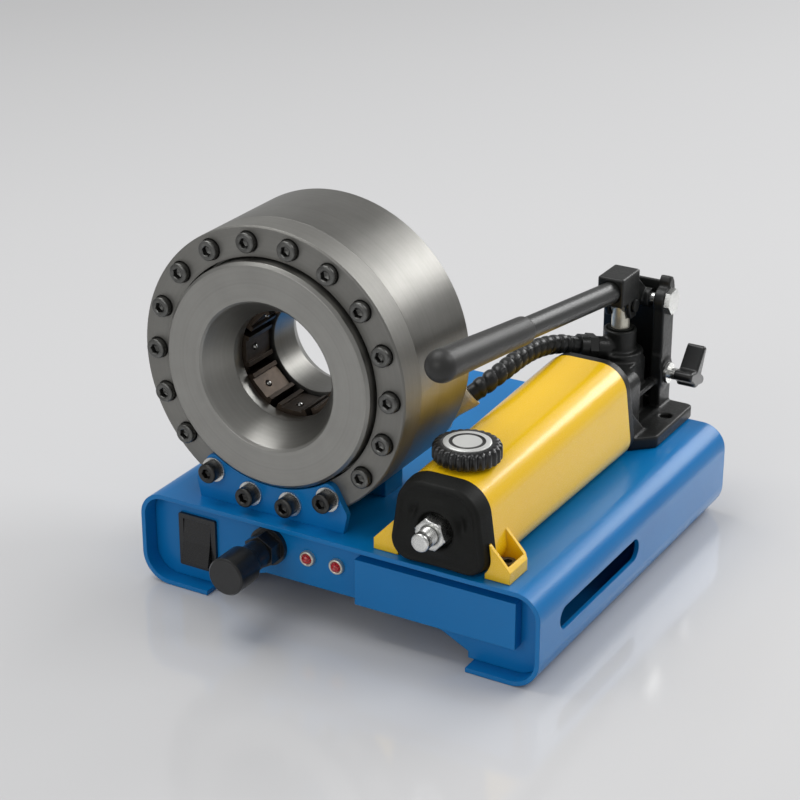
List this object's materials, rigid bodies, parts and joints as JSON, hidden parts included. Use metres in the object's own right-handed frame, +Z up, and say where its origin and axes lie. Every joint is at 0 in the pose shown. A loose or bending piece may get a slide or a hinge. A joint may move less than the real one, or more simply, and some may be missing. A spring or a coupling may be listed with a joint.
{
  "type": "hose crimping machine",
  "caption": "Bench hose crimping machine: round hydraulic die head on a bent steel base, with a yellow lever hand pump, rocker switch, adjuster knob and drawer.",
  "frame": {"origin": "middle of the four bench holes, on the underside of the foot flanges", "axes": "+X to the operator's right, +Y to the back, away from the die mouth's front, +Z up"},
  "size_m": [0.2923, 0.3299, 0.2542],
  "materials": {
    "blue_paint": "satin",
    "yellow_paint": "gloss",
    "head_steel": "satin",
    "die_steel": "ground",
    "black_screw": "black oxide",
    "zinc": "bright",
    "chrome": "polished",
    "brass": "satin",
    "black_plastic": "satin",
    "rocker_black": "smooth",
    "red_lens": "gloss",
    "rubber": "matt",
    "black_casting": "painted black",
    "black_steel": "satin",
    "grip_black": "smooth",
    "hose_black": "spiral guarded"
  },
  "bodies": {
    "machine": {"base_shell": "blue_paint", "front_panel": "blue_paint", "rear_panel": "blue_paint", "drawer_rails": "zinc", "switch_bezel": "black_plastic", "lamp_bezels": "chrome", "lamp_lenses": "red_lens", "adjuster_bush": "black_plastic", "adjuster_nut": "zinc", "head_housing": "head_steel", "front_ring": "head_steel", "front_disc": "head_steel", "cover_screws": "black_screw", "bracket_screws": "black_screw", "bracket_washers": "zinc", "head_bracket": "blue_paint", "saddle_blocks": "blue_paint", "pump_reservoir": "yellow_paint", "oil_bladder": "rubber", "end_boot": "rubber", "tie_rod": "zinc", "tie_nut": "zinc", "pump_head": "black_casting", "gland_ring": "black_plastic", "ear_bolt": "zinc", "hose": "hose_black", "hose_swivel": "black_steel", "hose_fitting": "brass", "head_port": "black_steel", "lug_screws": "black_screw", "foot_screws": "black_screw"},
    "piston": {"annular_piston": "zinc", "piston_outer_seal": "rubber", "piston_inner_seal": "rubber"},
    "drawer": {"drawer": "blue_paint"},
    "rocker": {"switch_rocker": "rocker_black"},
    "adjuster": {"adjuster_knob": "black_plastic", "adjuster_spindle": "zinc"},
    "cap": {"filler_cap": "black_plastic", "filler_cap_disc": "zinc"},
    "plunger": {"plunger": "chrome", "plunger_pin": "black_screw"},
    "beam": {"lever_block": "black_casting", "lever_tube": "black_steel", "lever_grip": "grip_black"},
    "release": {"release_stem": "zinc", "release_knob": "black_plastic"},
    "die_1": {"master_die_1": "die_steel"},
    "die_2": {"master_die_2": "die_steel"},
    "die_3": {"master_die_3": "die_steel"},
    "die_4": {"master_die_4": "die_steel"},
    "die_5": {"master_die_5": "die_steel"},
    "die_6": {"master_die_6": "die_steel"},
    "die_7": {"master_die_7": "die_steel"},
    "die_8": {"master_die_8": "die_steel"}
  },
  "joints": [
    {"name": "piston_slide", "type": "slide", "parent": "machine", "child": "piston", "axis": [0, -1, 0], "range_m": [0, 0.01448]},
    {"name": "die_1_slide", "type": "slide", "parent": "machine", "child": "die_1", "axis": [-1, 0, 0], "range_m": [0, 0.006]},
    {"name": "die_2_slide", "type": "slide", "parent": "machine", "child": "die_2", "axis": [-0.7071, 0, -0.7071], "range_m": [0, 0.006]},
    {"name": "die_3_slide", "type": "slide", "parent": "machine", "child": "die_3", "axis": [0, 0, -1], "range_m": [0, 0.006]},
    {"name": "die_4_slide", "type": "slide", "parent": "machine", "child": "die_4", "axis": [0.7071, 0, -0.7071], "range_m": [0, 0.006]},
    {"name": "die_5_slide", "type": "slide", "parent": "machine", "child": "die_5", "axis": [1, 0, 0], "range_m": [0, 0.006]},
    {"name": "die_6_slide", "type": "slide", "parent": "machine", "child": "die_6", "axis": [0.7071, 0, 0.7071], "range_m": [0, 0.006]},
    {"name": "die_7_slide", "type": "slide", "parent": "machine", "child": "die_7", "axis": [0, 0, 1], "range_m": [0, 0.006]},
    {"name": "die_8_slide", "type": "slide", "parent": "machine", "child": "die_8", "axis": [-0.7071, 0, 0.7071], "range_m": [0, 0.006]},
    {"name": "lever_hinge", "type": "hinge", "parent": "machine", "child": "beam", "pos_m": [0.0743, 0.1362, 0.1492], "axis": [-1, 0, 0], "range_deg": [0, 20]},
    {"name": "plunger_slide", "type": "slide", "parent": "machine", "child": "plunger", "axis": [0, 0, 1], "range_m": [0, 0.00805]},
    {"name": "drawer_slide", "type": "slide", "parent": "machine", "child": "drawer", "axis": [0, -1, 0], "range_m": [0, 0.11]},
    {"name": "rocker_hinge", "type": "hinge", "parent": "machine", "child": "rocker", "pos_m": [-0.1078, -0.1296, 0.0307], "axis": [1, 0, 0], "range_deg": [0, 16]},
    {"name": "adjuster_turn", "type": "hinge", "parent": "machine", "child": "adjuster", "pos_m": [-0.0529, -0.14, 0.043], "axis": [0, -1, 0], "range_deg": [-990, 990]},
    {"name": "cap_turn", "type": "hinge", "parent": "machine", "child": "cap", "pos_m": [0.0743, -0.1023, 0.13], "axis": [0, 0, 1], "range_deg": [0, 450]},
    {"name": "release_turn", "type": "hinge", "parent": "machine", "child": "release", "pos_m": [0.1103, 0.137, 0.0965], "axis": [1, 0, 0], "range_deg": [-270, 0]}
  ],
  "couplings": [
    {"joint": "die_1_slide", "follows": "piston_slide", "ratio": 0.41421},
    {"joint": "die_2_slide", "follows": "piston_slide", "ratio": 0.41421},
    {"joint": "die_3_slide", "follows": "piston_slide", "ratio": 0.41421},
    {"joint": "die_4_slide", "follows": "piston_slide", "ratio": 0.41421},
    {"joint": "die_5_slide", "follows": "piston_slide", "ratio": 0.41421},
    {"joint": "die_6_slide", "follows": "piston_slide", "ratio": 0.41421},
    {"joint": "die_7_slide", "follows": "piston_slide", "ratio": 0.41421},
    {"joint": "die_8_slide", "follows": "piston_slide", "ratio": 0.41421},
    {"joint": "plunger_slide", "follows": "lever_hinge", "m_per_rad": 0.02305}
  ]
}
